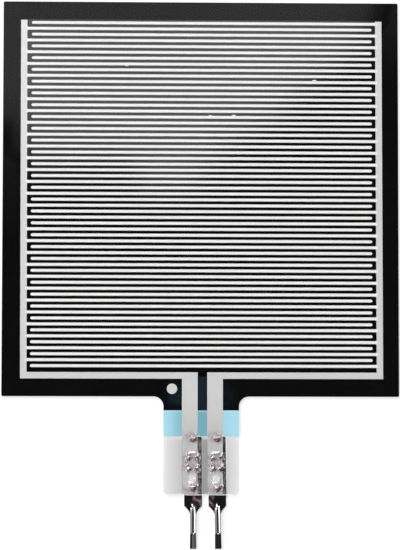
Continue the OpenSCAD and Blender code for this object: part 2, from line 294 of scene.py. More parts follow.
# Lamps: azimuth, angle from straight up, distance in metres, size in metres and radiance
LAMPS = {
    "key_left": (178, 44, 0.8, 0.36, 5.3),
    "key_top": (98, 43, 0.8, 0.48, 4.75),
    "soft_left": (140, 62, 1.0, 0.9, 1.05),
}


def turned_points(points, side):
    """Points of one contact's own frame, moved onto that contact."""
    cos, sin = LEAN_TURNS[side]
    at = CONTACT_X[side]
    return [(at + u * cos - v * sin, TAIL_END + u * sin + v * cos) for u, v in points]


def near_contacts(x, y, reach, low, high):
    """Contacts that a point lies near, with its place in each one's own frame."""
    for side, (cos, sin) in enumerate(LEAN_TURNS):
        dx, dy = x - CONTACT_X[side], y - TAIL_END
        u, v = dx * cos + dy * sin, dy * cos - dx * sin
        if abs(u) <= reach and low <= v <= high:
            yield side, u, v


def rough(x, y, z, scale):
    """Smooth noise from -1 to 1 whose bumps are about scale wide."""
    return noise.noise(Vector((x, y, z)) / scale)


def smooth(value, start, end):
    """Eased step from 0 at start to 1 at end."""
    t = min(max((value - start) / (end - start), 0), 1)
    return t * t * (3 - 2 * t)


def rounded(turn, cos_power, sin_power):
    """Cosine and sine of a turn, made squarer by powers under 1."""
    c, s = math.cos(turn), math.sin(turn)
    return math.copysign(abs(c) ** cos_power, c), math.copysign(abs(s) ** sin_power, s)


# Shapes in the plane


def arc(cx, cy, r, start, end, count=10):
    """Points along an arc, in degrees, with both ends."""
    turns = [math.radians(start + (end - start) * i / count) for i in range(count + 1)]
    return [(cx + r * math.cos(a), cy + r * math.sin(a)) for a in turns]


def stepped(loop, step):
    """A closed outline with points added so that no edge is longer than step."""
    points = []
    for i, (x, y) in enumerate(loop):
        nx, ny = loop[(i + 1) % len(loop)]
        count = max(1, math.ceil(math.hypot(nx - x, ny - y) / step))
        points += [(x + (nx - x) * k / count, y + (ny - y) * k / count) for k in range(count)]
    return points


def film_outline():
    """Outline of the front film, counter-clockwise."""
    left, right = TAIL_SIDES
    r, f, c, s = FILM_CORNER, TAIL_FILLET, TAIL_CORNER, FILM_HALF
    corners = (
        (s - r, s - r, r, 0, 90), (-s + r, s - r, r, 90, 180), (-s + r, -s + r, r, 180, 270),
        (left - f, -s - f, f, 90, 0), (left + c, TAIL_END + c, c, 180, 270),
        (right - c, TAIL_END + c, c, 270, 360), (right + f, -s - f, f, 180, 90),
        (s - r, -s + r, r, 270, 360),
    )
    return [point for corner in corners for point in arc(*corner)]


def offset_loop(loop, distance):
    """A closed outline moved inwards by a distance, outwards if that is negative."""
    moved = []
    for i, (x, y) in enumerate(loop):
        ax, ay = loop[i - 1]
        bx, by = loop[(i + 1) % len(loop)]
        along = Vector((bx - ax, by - ay)).normalized()
        moved.append((x - along.y * distance, y + along.x * distance))
    return moved


def inside(x, y, loop):
    """True if a point lies inside a closed outline."""
    found = False
    for i, (ax, ay) in enumerate(loop):
        bx, by = loop[i - 1]
        if (ay > y) != (by > y) and x < (bx - ax) * (y - ay) / (by - ay) + ax:
            found = not found
    return found


def boxed(loops):
    """Outlines with their lowest and highest corners, which make covered fast."""
    return [(*map(min, zip(*loop)), *map(max, zip(*loop)), loop) for loop in loops]


def covered(x, y, boxes):
    """True if a point lies inside one of some boxed outlines."""
    return any(a < x < c and b < y < d and inside(x, y, loop) for a, b, c, d, loop in boxes)


def fill(outline, holes, inner):
    """Points and triangles that fill an outline and leave its holes open.

    Returns the points, the triangles and, for each outline, its points' numbers.
    """
    points, edges, rings = [], [], []
    for loop in [outline, *holes]:
        start = len(points)
        points += [Vector(p) for p in loop]
        count = len(loop)
        edges += [(start + i, start + (i + 1) % count) for i in range(count)]
        rings.append(range(start, start + count))
    points += [Vector(p) for p in inner]
    verts, _, faces, sources, _, _ = delaunay_2d_cdt(points, edges, [list(rings[0])], 1, 1e-7)
    number = {old: new for new, olds in enumerate(sources) for old in olds}
    boxes = boxed(holes)
    kept = []
    for face in faces:
        cx, cy = (sum(verts[i][axis] for i in face) / len(face) for axis in (0, 1))
        if not covered(cx, cy, boxes):
            kept.append(face)
    return verts, kept, [[number[i] for i in ring] for ring in rings]


# Meshes


def new_object(name, made, material, scale=MM):
    """Puts a finished mesh in the scene, scaled to metres, with its material."""
    mesh = bpy.data.meshes.new(name)
    made.to_mesh(mesh)
    made.free()
    mesh.transform(Matrix.Scale(scale, 4))
    mesh.materials.append(material)
    item = bpy.data.objects.new(name, mesh)
    bpy.context.scene.collection.objects.link(item)
    return item


def new_piece(name, made, material, replaced, scale=MM):
    """Makes a piece from a mesh, shades it and ties it to the frame in place of a node."""
    piece = new_object(name, made, material, scale)
    piece.data.shade_smooth()
    piece.data.set_sharp_from_angle(angle=SHARP_TURN)
    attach(piece, "root")
    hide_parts(replaced)


def bridge(made, rings):
    """Joins each ring of vertices to the next one."""
    for a, b in zip(rings, rings[1:]):
        for i in range(len(a)):
            k = (i + 1) % len(a)
            made.faces.new((a[i], a[k], b[k], b[i]))


def add_slab(made, outline, holes, inner, low, high, lift, bevel, masks=()):
    """Adds a closed slab with bevelled edges whose faces follow lift(x, y).

    masks are pairs of a vertex layer and a function of x, y that fills it.
    """
    flat_outline = offset_loop(outline, bevel)
    flat_holes = [offset_loop(h, -bevel) for h in holes]
    verts, faces, rings = fill(flat_outline, flat_holes, inner)

    def corner(x, y, z):
        vert = made.verts.new((x, y, z + lift(x, y)))
        for layer, mask in masks:
            vert[layer] = mask(x, y)
        return vert

    used = sorted({i for face in faces for i in face})
    top = {i: corner(*verts[i], high) for i in used}
    bottom = {i: corner(*verts[i], low) for i in used}
    for face in faces:
        made.faces.new([top[i] for i in face])
        made.faces.new([bottom[i] for i in reversed(face)])
    for ring, wall in zip(rings, [outline, *holes]):
        upper = [corner(*point, high - bevel) for point in wall]
        lower = [corner(*point, low + bevel) for point in wall]
        bridge(made, [[bottom[i] for i in ring], lower, upper, [top[i] for i in ring]])


def add_loft(made, rings, layer=None, values=()):
    """Adds a closed body through rings of points, and fills a layer with each point's value."""
    rows = [[made.verts.new(p) for p in ring] for ring in rings]
    for row, shares in zip(rows, values):
        for vert, share in zip(row, shares):
            vert[layer] = share
    bridge(made, rows)
    made.faces.new(rows[0][::-1])
    made.faces.new(rows[-1])


# Crimped area: where the film and the silver are pushed up by the claws


def slit_loops(side, margin):
    """Ragged slits that the claws tear in the film and the silver."""
    loops = []
    places = [(s * SIDE_CLAW_X, y, CLAW_T / 2, SIDE_CLAW_W / 2)
              for y in (UPPER_PAIR_Y, LOWER_PAIR_Y) for s in (-1, 1)]
    places += [(0, y - CLAW_T / 2, TONGUE_W / 2, CLAW_T / 2)
               for y in (PLATE_UP, LOWER_TONGUE_Y)]
    for n, (u, v, half_u, half_v) in enumerate(places):
        loop = []
        for a in [math.tau * i / SLIT_POINTS for i in range(SLIT_POINTS)]:
            wide = 1 + 0.18 * rough(math.cos(a) * 2, math.sin(a) * 2, n + 9 * side, 1)
            x, y = rounded(a, 0.6, 0.6)
            loop.append((u + (half_u + margin) * wide * x, v + (half_v + margin) * wide * y))
        loops.append(turned_points(loop, side))
    return loops


def bump(u, v, half_u, half_v):
    """Smooth hump of height 1 over a flattened oval."""
    return math.exp(-((u / half_u) ** 2 + (v / half_v) ** 2))


def humps(u, v, table):
    """Sum of a table's humps at a point."""
    return sum(height * bump(u - at_u, v - at_v, *halves) for height, at_u, at_v, *halves in table)


def ridge_height(which, u, t):
    """Height of a pressed ridge at u from its middle and t up the tail from its crest."""
    flat = smooth(RIDGE_HALF + 0.08 - abs(u), 0, 0.16)
    if which == 1 and t > 0:
        return RIDGE_H * flat * math.exp(-(math.hypot(t, 0.03) - 0.03) / RIDGE_SLOPE[1])
    width = (RIDGE_SLOPE if t > 0 else RIDGE_FALL)[which]
    return RIDGE_H * flat * math.exp(-((t / width) ** 2))


def slit_distances(u, v):
    """Distances in one contact's own frame to its slits' middle lines, and how far each stands up."""
    for pair_y in (UPPER_PAIR_Y, LOWER_PAIR_Y):
        away = max(0, abs(v - pair_y) - SIDE_CLAW_W / 2)
        for s in (-1, 1):
            yield math.hypot(u - s * SIDE_CLAW_X, away), 1
    away = max(0, abs(u) - TONGUE_W / 2)
    for slit_y, share in ((PLATE_UP, 0.3), (LOWER_TONGUE_Y, 1)):
        yield math.hypot(v - slit_y + CLAW_T / 2, away), share


def lift_at(x, y):
    """How far the claws have pushed the film up at a point."""
    total = 0
    for side, u, v in near_contacts(x, y, *LIFT_AREA):
        for which, ridge_y in enumerate(RIDGE_Y):
            stray = 0.012 * rough(u, 0, side * 3, 0.2)
            total += ridge_height(which, u - RIDGE_U[side], v - ridge_y - stray)
        torn = (1 + 0.5 * rough(u, v, 3 + side, 0.16)) * (1 - smooth(abs(u), 0.56, 0.72))
        for near, share in slit_distances(u, v):
            total += RIM_H * torn * share * bump(near, 0, RIM_REACH, 1)
        crimped = smooth(v, 0.1, 0.5) * (1 - smooth(v, 6, 6.4)) * (1 - smooth(abs(u), 0.75, 1))
        total += crimped * SWELL * (1 + rough(u, v, side * 5, 0.28))
        worked = min(1, humps(u, v, WORKED))
        total += worked * CRINKLE * (1 + rough(u, v, side * 5 + 2, 0.14))
    return total


def strain_and_glint_at(x, y):
    """How far the film is whitened, as painted highlights where it would glint and by stress: on its
    ridges, at its slits and at the silver's torn edge.
    """
    total = 0
    for side, u, v in near_contacts(x, y, *GLINT_AREA):
        patchy = 0.8 + 0.6 * rough(u, v, 7 + side, 0.18)
        across = 1 - smooth(abs(u - RIDGE_U[side]), RIDGE_HALF - 0.08, RIDGE_HALF + 0.04)
        for ridge_y, (white, rise, half_v) in zip(RIDGE_Y, RIDGE_GLINT):
            total += across * patchy * white * bump(0, v - ridge_y - rise, 1, half_v)
        spots = smooth(rough(u, v, 20 + side, 0.13), 0.05, 0.4)
        for near, share in slit_distances(u, v):
            total += 0.8 * spots * share * bump(near - 0.14, 0, 0.07, 1)
        total += humps(u, v, WHITE_GLINTS)
    return min(1, total)


def pink_reflection_and_shade_at(x, y):
    """How strongly the silver round the claws is painted with a pinkish reflection of their exposed bronze,
    and with shade.
    """
    return min(1, sum(humps(u, v, PINK_REFLECTIONS) for _, u, v in near_contacts(x, y, *PINK_REFLECTION_AREA)))


def crimp_grid(step, loops):
    """Inner points over the crimped area, clear of the given outlines."""
    boxes = boxed([offset_loop(loop, -0.4 * step) for loop in loops])
    points = []
    left, low, width, height = CRIMP_AREA
    for side in (0, 1):
        for j in range(int(height / step)):
            for i in range(int(width / step)):
                own = (left + step * (i + 0.5 * (j % 2)), low + step * j)
                points += turned_points([own], side)
    return [point for point in points if not covered(*point, boxes)]


# Pieces


def front_film(material):
    """Clear film with the claws' slits, lifted round them, and bevelled cut edges."""
    made = bmesh.new()
    end_glint = made.verts.layers.float.new("end_glint")
    strain_and_glint = made.verts.layers.float.new("strain_and_glint")
    holes = [loop for side in (0, 1) for loop in slit_loops(side, FILM_SLIT_GAP)]
    outline = stepped(film_outline(), 2)
    end_line = [(x, TAIL_END + END_GLINT_W) for x, y in outline if y < TAIL_END + 0.01]
    inner = crimp_grid(FILM_GRID, holes) + offset_loop(outline, 0.3) + end_line

    # Painted highlight along the film's cut end, where its edge would glint
    def end_glint_at(x, y):
        return 1 - smooth(y, TAIL_END + 0.02, TAIL_END + END_GLINT_W)

    masks = [(end_glint, end_glint_at), (strain_and_glint, strain_and_glint_at)]
    add_slab(made, outline, holes, inner, Z_FRONT + HAIR, Z_TOP, lift_at, FILM_BEVEL, masks)
    new_piece("front_film", made, material, "electrode_film")


def below_top(z):
    """Height of a claw's point, eased so that no claw stands above the real ones' height."""
    start = CLAW_TOP - CLAW_SOFT
    return z if z < start else start + CLAW_SOFT * (1 - math.exp(-(z - start) / CLAW_SOFT))


def claw_rings(stations, across, seed, torn, twist=0.0, teeth=0.0):
    """Rings of a torn claw, and how far each point is painted maroon, as exposed bronze and as painted
    shade.

    A claw is a crowned, crinkled strip that twists as it goes through its stations, each a place,
    a width and a thickness. torn(t, part) says how far it is painted maroon at t along it and at part
    across it, from -1 to 1.
    """
    rings, bare = [], []
    path = [place for place, _, _ in stations]
    last = len(path) - 1
    for n, (centre, width, thick) in enumerate(stations):
        t = n / last
        ahead = (path[min(n + 1, last)] - path[max(n - 1, 0)]).normalized()
        normal = ahead.cross(across).normalized()
        if normal.z < 0 and t < 0.5:
            normal = -normal
        turn = Matrix.Rotation(math.radians(twist) * smooth(t, 0.25, 0.7), 3, ahead)
        wide_way, thick_way = turn @ across, turn @ normal
        half_w = width / 2
        free = smooth(t, 0.18, 0.35)
        ring, row = [], []
        for i in range(CLAW_SIDES):
            part, up = rounded(math.tau * i / CLAW_SIDES, 0.5, 0.7)
            p = centre + wide_way * part * half_w + thick_way * (up * thick / 2)
            p += ahead * teeth * smooth(t, 0.5, 1) * abs(math.sin(part * TEETH_PACE + seed))
            crown = CROWN * half_w * free * part * part
            crinkle = CLAW_CRINKLE * free * rough(p.x, p.y, p.z + seed, 0.15)
            ragged = CLAW_RAGGED * free * rough(p.x * 1.3, p.y, p.z + seed, 0.09)
            p += wide_way * ragged * abs(part) + thick_way * (crinkle - crown)
            ring.append(Vector((p.x, p.y, below_top(p.z))))
            patchy = 0.35 + 0.8 * smooth(rough(p.x, p.y, seed, 0.12), -0.35, 0.25)
            row.append(max(0.02, min(1, patchy * torn(t, part))))
        rings.append(ring)
        bare.append(row)
    return rings, bare


def claw_leg(u, v, width):
    """Stations of a claw's straight leg, up through the film."""
    steps = [i / LEG_STEPS for i in range(LEG_STEPS)]
    return [(Vector((u, v, CLAW_BASE + (CLAW_FOOT - CLAW_BASE) * t)), width, CLAW_T) for t in steps]


def side_claw(s, pair_y, reach, drift, width, twist, tip_bare, seed):
    """Rings and bareness of a side claw that comes up and bites back inwards."""
    stations = claw_leg(s * SIDE_CLAW_X, pair_y, width)
    curl = 18
    for t in [i / curl for i in range(curl + 1)]:
        a = math.pi * t
        x = SIDE_CLAW_X - reach / 2 * (1 - math.cos(a))
        z = max(CLAW_FOOT + CLAW_UP * math.sin(a), Z_TOP + 0.01)
        place = Vector((s * x, pair_y + drift * t ** 1.4, z))
        stations.append((place, width * (1 - 0.6 * t ** 1.3), CLAW_T * (1 - 0.35 * t)))

    def torn(t, part):
        """Maroon along the lower half of the curl and at its tip: exposed bronze, and painted shade on the
        side turned from the light.
        """
        half_span = 0.09 + 0.6 * max(0, tip_bare - 0.9)
        span = smooth(t, 0.45, 0.6) if s < 0 else bump(t - 0.62, 0, half_span, 1)
        return tip_bare * smooth(-part, -0.4, 0.3) * span

    return claw_rings(stations, Vector((0, 1, 0)), seed, torn, -s * twist)


def tongue(at_y, run, slant, tip_w, teeth, forked, bareness, shines, seed):
    """Rings and bareness of a tongue that comes up and lies down towards the film's end."""
    bend, lie = 8, 18
    r = TONGUE_BEND
    back = at_y - CLAW_T / 2
    lie_w = 0.94 * TONGUE_W
    stations = claw_leg(0, back, TONGUE_W)
    for t in [i / bend for i in range(bend)]:
        a = math.pi / 2 * t
        place = Vector((0, back - r + r * math.cos(a), CLAW_FOOT + r * math.sin(a)))
        stations.append((place, TONGUE_W * (1 - 0.06 * t), CLAW_T))
    for t in [i / lie for i in range(lie + 1)]:
        place = Vector((slant * t, back - r - run * t, CLAW_FOOT + r - 0.09 * t * t))
        stations.append((place, lie_w + (tip_w - lie_w) * t, CLAW_T * (1 - 0.45 * t)))

    def torn(t, part):
        """Maroon at the tip and in patches on the bend, and along both edges of a forked tongue: exposed
        bronze, and painted shade where the tip would lie in shadow.
        """
        shine = max(bump(part - at, 0, 0.15, 1) for at in shines)
        bend_bare = bump(t - 0.37, 0, 0.08, 1) * (0.8 - 0.75 * shine)
        edges = forked * smooth(abs(part), 0.35, 0.7) * smooth(t, 0.42, 0.55)
        middle = smooth(t, 0.46, 0.62) * (1 - forked)
        return bareness * max(middle, smooth(t, 0.72, 0.86), edges, bend_bare)

    return claw_rings(stations, Vector((1, 0, 0)), seed, torn, 0.0, teeth)


def burr():
    """Rings and bareness of the burr that is torn out beside one claw's root."""
    stations = [(Vector(place), width, BURR_T) for *place, width in BURR]
    return claw_rings(stations, Vector((0.5, 0.85, 0)).normalized(), 31, lambda t, part: 2)


def rectangle(half, low, high):
    """A window's outline, clockwise."""
    return [(-half, high), (half, high), (half, low), (-half, low)]


def plate_shape():
    """Outline and windows of a contact's plate, in the contact's own frame."""
    half, r = PLATE_W / 2, PLATE_CORNER
    outline = [(-half, PLATE_LOW), (half, PLATE_LOW)]
    outline += arc(half - r, PLATE_UP - r, r, 0, 90, 5)
    outline += arc(-half + r, PLATE_UP - r, r, 90, 180, 5)
    reach = SIDE_CLAW_W / 2 + 0.06
    windows = [rectangle(SIDE_CLAW_X - CLAW_T / 2, y - reach, y + reach)
               for y in (UPPER_PAIR_Y, LOWER_PAIR_Y)]
    windows.append(rectangle(TONGUE_W / 2 + 0.05, 0.26, LOWER_TONGUE_Y - CLAW_T))
    return outline, windows


def pin_top(u):
    """Height of the folded pin at a place across it."""
    for (a, za), (b, zb) in zip(PIN_TOP, PIN_TOP[1:]):
        if a <= u <= b:
            return za + (zb - za) * (u - a) / (b - a)
    return PIN_TOP[0][1]


def fold_reach(down):
    """Half the folded part's width, at a distance below the film's end."""
    return min(PIN_W / 2, NOTCH_W + NOTCH_SPREAD * max(down - FOLD_START, 0))


def lip_height(u, down):
    """Height of the contact's upper side at u across it, at a distance below the film's end."""
    half = PIN_W / 2
    start = FOLD_START + (LEFT_LIP_LATE if u < LEFT_LIP_X else 0)
    pressed = smooth(down, FOLD_END, FOLD_END + COIN_RUN)
    reach = fold_reach(down)
    lip, foot = SHEET_T, PIN_TOP[0][1]
    if abs(u) <= reach + 1e-6:
        lip = foot + (pin_top(u / reach * half) - foot) * reach / half
    risen = min(1, max(0, (down - start) / FOLD_RISE))
    height = SHEET_T + (lip - SHEET_T) * risen
    run = (down - SPUR_RUN[0]) / (SPUR_RUN[1] - SPUR_RUN[0])
    if 0 < run < 1:
        middle = SPUR_X[0] + (SPUR_X[1] - SPUR_X[0]) * run * run
        away = abs(u - middle) / (0.045 + 0.02 * run)
        spur = SPUR_SLOPE * (down - SPUR_RUN[0]) * (1 - smooth(away, 0.7, 1.1))
        height = max(height, SHEET_T + spur)
    worn = 0.006 * rough(u * 3, -down, 4, 0.2) - 0.05 * max(0, abs(u) - 0.2)
    flat_tip = COIN_Z + COIN_T - 0.02 + worn
    return height + (flat_tip - height) * pressed


def half_width(down):
    """Half the contact's width at a distance below the film's end."""
    shoulder = PLATE_W / 2 - PIN_W / 2
    if down < PLATE_DOWN:
        return PLATE_W / 2
    if down < PLATE_DOWN + shoulder + SHOULDER_RUN:
        t = (down - PLATE_DOWN) / (shoulder + SHOULDER_RUN)
        return PIN_W / 2 + shoulder * (1 - t) ** SHOULDER_POWER
    return PIN_W / 2 + (COIN_W - PIN_W) / 2 * smooth(down, FOLD_END + COIN_RUN, PIN_END)


def section_side(s, down, half, reach, base, low):
    """Edge of the contact's section on one side, from below up to the fold's foot."""
    wing = half - reach
    winged = wing > HAIR
    flat = SHEET_T if winged else lip_height(s * reach, down)
    return [
        (s * (half - PIN_BEVEL * 2), low), (s * (half - PIN_BEVEL), low + 0.007),
        (s * half, low + PIN_BEVEL * 1.6),
        (s * half, max(base + SHEET_T - PIN_BEVEL, low + PIN_BEVEL * 1.7)),
        (s * (half - min(PIN_BEVEL, wing * 0.5)), flat if winged else flat - 0.02),
        (s * (reach + min(0.012, wing * 0.3)), flat),
    ]


def lower_rings(pin_shift):
    """Sections of the contact from under the film down to the pin's tip."""
    stations = [-0.2, -0.1, 0, 0.3, 0.6]
    stations += [SPUR_RUN[0] + 0.02 * i for i in range(26)]
    stations += [1.45, 1.55, 1.9, 2.4, 2.9, 3.4, 3.6]
    stations += [FOLD_END + COIN_RUN * (i / 6) for i in range(-1, 8)]
    stations += [4.3, 4.6, 4.9, 5.15, PIN_END - TIP_ROUND, PIN_END - 0.02, PIN_END]
    rings = []
    for down in stations:
        tip = smooth(down, PIN_END - TIP_ROUND, PIN_END)
        squeeze = TIP_THINNER * tip
        base = COIN_Z * smooth(down, FOLD_END, FOLD_END + COIN_RUN)
        half = half_width(down) - TIP_NARROWER * tip
        reach = min(fold_reach(down), half) if half > PIN_W / 2 else half
        low = base + squeeze
        left, right = (section_side(s, down, half, reach, base, low) for s in (-1, 1))
        ring = [(-half * 0.5, low), (half * 0.5, low), *right]
        for u, _ in reversed(PIN_TOP):
            at = u / (PIN_W / 2) * reach
            ring.append((at, lip_height(at, down) - squeeze))
        ring += left[::-1]
        moved = pin_shift * smooth(down, -0.2, 0.3)
        rings.append([Vector((u + moved, -down, z)) for u, z in ring])
    return rings


def on_contact(rings, side):
    """Rings of one contact's own frame, moved onto that contact."""
    return [[Vector((*turned_points([p.xy], side)[0], p.z)) for p in ring] for ring in rings]


def crimp_contact(side, name, replaced, material):
    """One contact: plate, claws through the film, folded pin and flattened tip."""
    made = bmesh.new()
    bare = made.verts.layers.float.new("bare")
    outline, windows = plate_shape()
    outline = turned_points(stepped(outline, 0.4), side)
    windows = [turned_points(stepped(w, 0.2), side) for w in windows]
    add_slab(made, outline, windows, [], 0, SHEET_T, lambda x, y: 0, SHEET_BEVEL)
    add_loft(made, on_contact(lower_rings(PIN_SHIFT[side]), side))
    claws = [side_claw(*shape, 3 * n) for n, (at, *shape) in enumerate(SIDE_CLAWS) if at == side]
    claws += [tongue(at_y, *shape, at_y + 11 * side) for at_y, *shape in TONGUES]
    if side == 1:
        claws.append(burr())
    for rings, rows in claws:
        add_loft(made, on_contact(rings, side), bare, rows)
    bmesh.ops.remove_doubles(made, verts=made.verts, dist=1e-5)
    bmesh.ops.recalc_face_normals(made, faces=made.faces)
    new_piece(name, made, material, replaced)


# Nodes. Where a value is a socket, its own tree is the one that new nodes go into


def spaced(values):
    """Values by their sockets' names, which have spaces."""
    return {name.replace("_", " "): value for name, value in values.items()}


def node(tree, kind, inputs=None, **settings):
    """A new node, set up and with its inputs linked or filled.

    A kind is given without its prefix if that is ShaderNode.
    """
    made = tree.nodes.new(kind if "Node" in kind else "ShaderNode" + kind)
    for key, value in settings.items():
        setattr(made, key, value)
    for key, value in (inputs or {}).items():
        if isinstance(value, bpy.types.NodeSocket):
            tree.links.new(value, made.inputs[key])
        else:
            made.inputs[key].default_value = value
    return made


def put(tree, kind, **inputs):
    """First output of a new node, whose inputs are given by name."""
    return node(tree, kind, spaced(inputs)).outputs[0]


def maths(operation, a, b=0.0, clamp=False):
    """Output of a Math node."""
    tree = (a if isinstance(a, bpy.types.NodeSocket) else b).id_data
    return node(tree, "Math", {0: a, 1: b}, operation=operation, use_clamp=clamp).outputs[0]


def times(*values):
    """Product of values."""
    return reduce(partial(maths, "MULTIPLY"), values)


def plus(*values):
    """Sum of values."""
    return reduce(partial(maths, "ADD"), values)


def minus(a, b):
    """Difference of two values."""
    return maths("SUBTRACT", a, b)


def ranged(value, low, high, to_low=0.0, to_high=1.0, eased=False):
    """Output of a Map Range node."""
    kind = "SMOOTHSTEP" if eased else "LINEAR"
    sockets = {"Value": value, "From Min": low, "From Max": high, "To Min": to_low, "To Max": to_high}
    return node(value.id_data, "MapRange", sockets, interpolation_type=kind).outputs[0]


def ranged_mm(value, low, high, to_low=0.0, to_high=1.0, eased=False):
    """Output of a Map Range node whose range is in millimetres."""
    return ranged(value, low * MM, high * MM, to_low, to_high, eased)


def blend(factor, a, b):
    """Output of a Mix node on two colours."""
    return node(factor.id_data, "Mix", {0: factor, 6: a, 7: b}, data_type="RGBA").outputs[2]


def mixed(factor, a, b):
    """Output of a Mix Shader node."""
    return node(factor.id_data, "MixShader", {0: factor, 1: a, 2: b}).outputs[0]


def speckles(spot, scale, detail=3.0):
    """Output of a Noise Texture node."""
    return put(spot.id_data, "TexNoise", Vector=spot, Scale=scale, Detail=detail)


def split(vector):
    """The three parts of a vector."""
    return node(vector.id_data, "SeparateXYZ", {0: vector}).outputs


def joined(tree, **parts):
    """A vector from its parts."""
    return put(tree, "CombineXYZ", **parts)


def mesh_layer(tree, name):
    """Values that a piece's mesh keeps in a vertex layer."""
    return node(tree, "Attribute", attribute_name=name).outputs["Fac"]


def between_x(x, left, right, soft=0.02):
    """Mask of what lies between two edges across the film."""
    return times(ranged_mm(x, left - soft, left + soft), ranged_mm(x, right - soft, right + soft, 1.0, 0.0))


# Printed fingers


def comb_tree():
    """Tree that prints a comb of fingers, each an ink line with a soft, slightly uneven edge."""
    tree = bpy.data.node_groups.new("Printed comb", "GeometryNodeTree")
    kinds = {"Count": "Int", "Ink": "Material"}
    for name in ("Count", "First Y", "Step Y", "Root X", "Tip X", "Width", "Thickness", "Level",
                 "Wobble", "Unevenness", "Seed", "Ink"):
        kind = "NodeSocket" + kinds.get(name, "Float")
        tree.interface.new_socket(name, in_out="INPUT", socket_type=kind)
    tree.interface.new_socket("Comb", in_out="OUTPUT", socket_type="NodeSocketGeometry")
    given = node(tree, "NodeGroupInput").outputs

    # One straight line, whose last points crowd into the round end
    line = put(tree, "GeometryNodeCurvePrimitiveLine")
    line = put(tree, "GeometryNodeResampleCurve", Curve=line, Count=LINE_POINTS)
    index = put(tree, "GeometryNodeInputIndex")
    body_last = LINE_POINTS - END_POINTS - 1
    along = ranged(index, 0, body_last)
    turn = ranged(index, body_last, LINE_POINTS - 1, 0, math.radians(86))
    radius = times(given["Width"], 0.5)
    reach = minus(given["Tip X"], given["Root X"])
    end_reach = times(maths("SIGN", reach), radius)
    body_x = times(along, minus(reach, end_reach))
    x = plus(given["Root X"], plus(body_x, times(maths("SINE", turn), end_reach)))
    finger = put(tree, "GeometryNodeSetPosition", Geometry=line, Position=joined(tree, X=x))

    # Fingers down the comb
    start = joined(tree, Y=given["First Y"], Z=given["Level"])
    step = joined(tree, Y=given["Step Y"])
    rows = put(tree, "GeometryNodeMeshLine", Count=given["Count"], Start_Location=start, Offset=step)
    copies = put(tree, "GeometryNodeInstanceOnPoints", Points=rows, Instance=finger)
    lines = put(tree, "GeometryNodeRealizeInstances", Geometry=copies)

    # Uneven middle line and width
    here = put(tree, "GeometryNodeInputPosition")
    spot = node(tree, "VectorMath", {0: here, 1: joined(tree, Z=given["Seed"])}, operation="ADD").outputs[0]
    wander = times(minus(speckles(spot, 700.0, 2.0), 0.5), given["Wobble"])
    lines = put(tree, "GeometryNodeSetPosition", Geometry=lines, Offset=joined(tree, Y=wander))
    uneven = times(minus(speckles(spot, 1900.0, 2.0), 0.5), given["Unevenness"])
    here_x = split(here)[0]
    root_gap, tip_gap = (maths("ABSOLUTE", minus(here_x, given[end])) for end in ("Root X", "Tip X"))
    flare = ranged_mm(root_gap, 0.12, 0.24, 0.35, 0.0, eased=True)
    part = minus(1.0, maths("DIVIDE", tip_gap, radius, clamp=True))
    round_end = maths("SQRT", minus(1.0001, times(part, part)))
    width = times(plus(1.0, uneven, flare), round_end)

    # Section of the ink line: a flattened round, marked by how near its edge each point is
    circle = put(tree, "GeometryNodeCurvePrimitiveCircle", Resolution=12, Radius=1.0)
    corner = split(put(tree, "GeometryNodeInputPosition"))
    across = maths("POWER", maths("ABSOLUTE", corner[0]), 0.5)
    upward = maths("POWER", maths("ABSOLUTE", corner[1]), 0.35)
    marked = put(tree, "GeometryNodeStoreNamedAttribute", Geometry=circle, Name="edge", Value=across)
    flat_x = times(across, maths("SIGN", corner[0]), radius)
    flat_y = times(upward, maths("SIGN", corner[1]), times(given["Thickness"], 0.5))
    flat = joined(tree, X=flat_x, Y=flat_y)
    section = put(tree, "GeometryNodeSetPosition", Geometry=marked, Position=flat)
    solid = put(tree, "GeometryNodeCurveToMesh", Curve=lines, Profile_Curve=section,
                Scale=width, Fill_Caps=True)
    painted = put(tree, "GeometryNodeSetMaterial", Geometry=solid, Material=given["Ink"])
    node(tree, "NodeGroupOutput", {0: painted})
    return tree


def printed_fingers(tree, values):
    """Plain mesh of the fingers that the comb tree prints with these values."""
    holder = bpy.data.objects.new("fingers", bpy.data.meshes.new("fingers"))
    bpy.context.scene.collection.objects.link(holder)
    modifier = holder.modifiers.new("Comb", "NODES")
    modifier.node_group = tree
    for item in tree.interface.items_tree:
        if item.in_out == "INPUT":
            modifier[item.identifier] = values[item.name]
    holder.update_tag()
    graph = bpy.context.evaluated_depsgraph_get()
    mesh = bpy.data.meshes.new_from_object(holder.evaluated_get(graph), depsgraph=graph)
    bpy.data.objects.remove(holder)
    return mesh


def rail_outline(side, s):
    """Outline of one electrode's rail, bottom run and trace, counter-clockwise."""
    top_x, low_x = (RAIL_OUT[side] + drift for drift in RAIL_DRIFT[side])
    trace_out, trace_in = TRACE_X[side] + s * TRACE_W / 2, TRACE_X[side] - s * TRACE_W / 2
    loop = [
        (low_x, RUN_BOTTOM), (trace_out, RUN_BOTTOM), (trace_out, TRACE_END), (trace_in, TRACE_END),
        (trace_in, RUN_TOP), (low_x - s * RAIL_W, RUN_TOP), (top_x - s * RAIL_W, RAIL_TOP),
        (top_x, RAIL_TOP),
    ]
    return loop if side == 0 else loop[::-1]


def wavy(loop, amount, scale, seed):
    """An outline whose points stray a little, as a printed edge does."""
    return [(x + amount * rough(x, y, seed, scale), y + amount * rough(x, y, seed + 50, scale))
            for x, y in loop]


def add_glint_drop(made, x, y, half_w, half_h):
    """Adds a flat drop of silver ink beside a finger, in metres: a painted highlight where the film would
    glint.
    """
    size = Matrix.Diagonal((half_w * MM, half_h * MM, DROP_H * MM, 1))
    place = Matrix.Translation(Vector((x, y, Z_SILVER + DROP_UP)) * MM)
    bmesh.ops.create_icosphere(made, subdivisions=2, radius=1, matrix=place @ size)


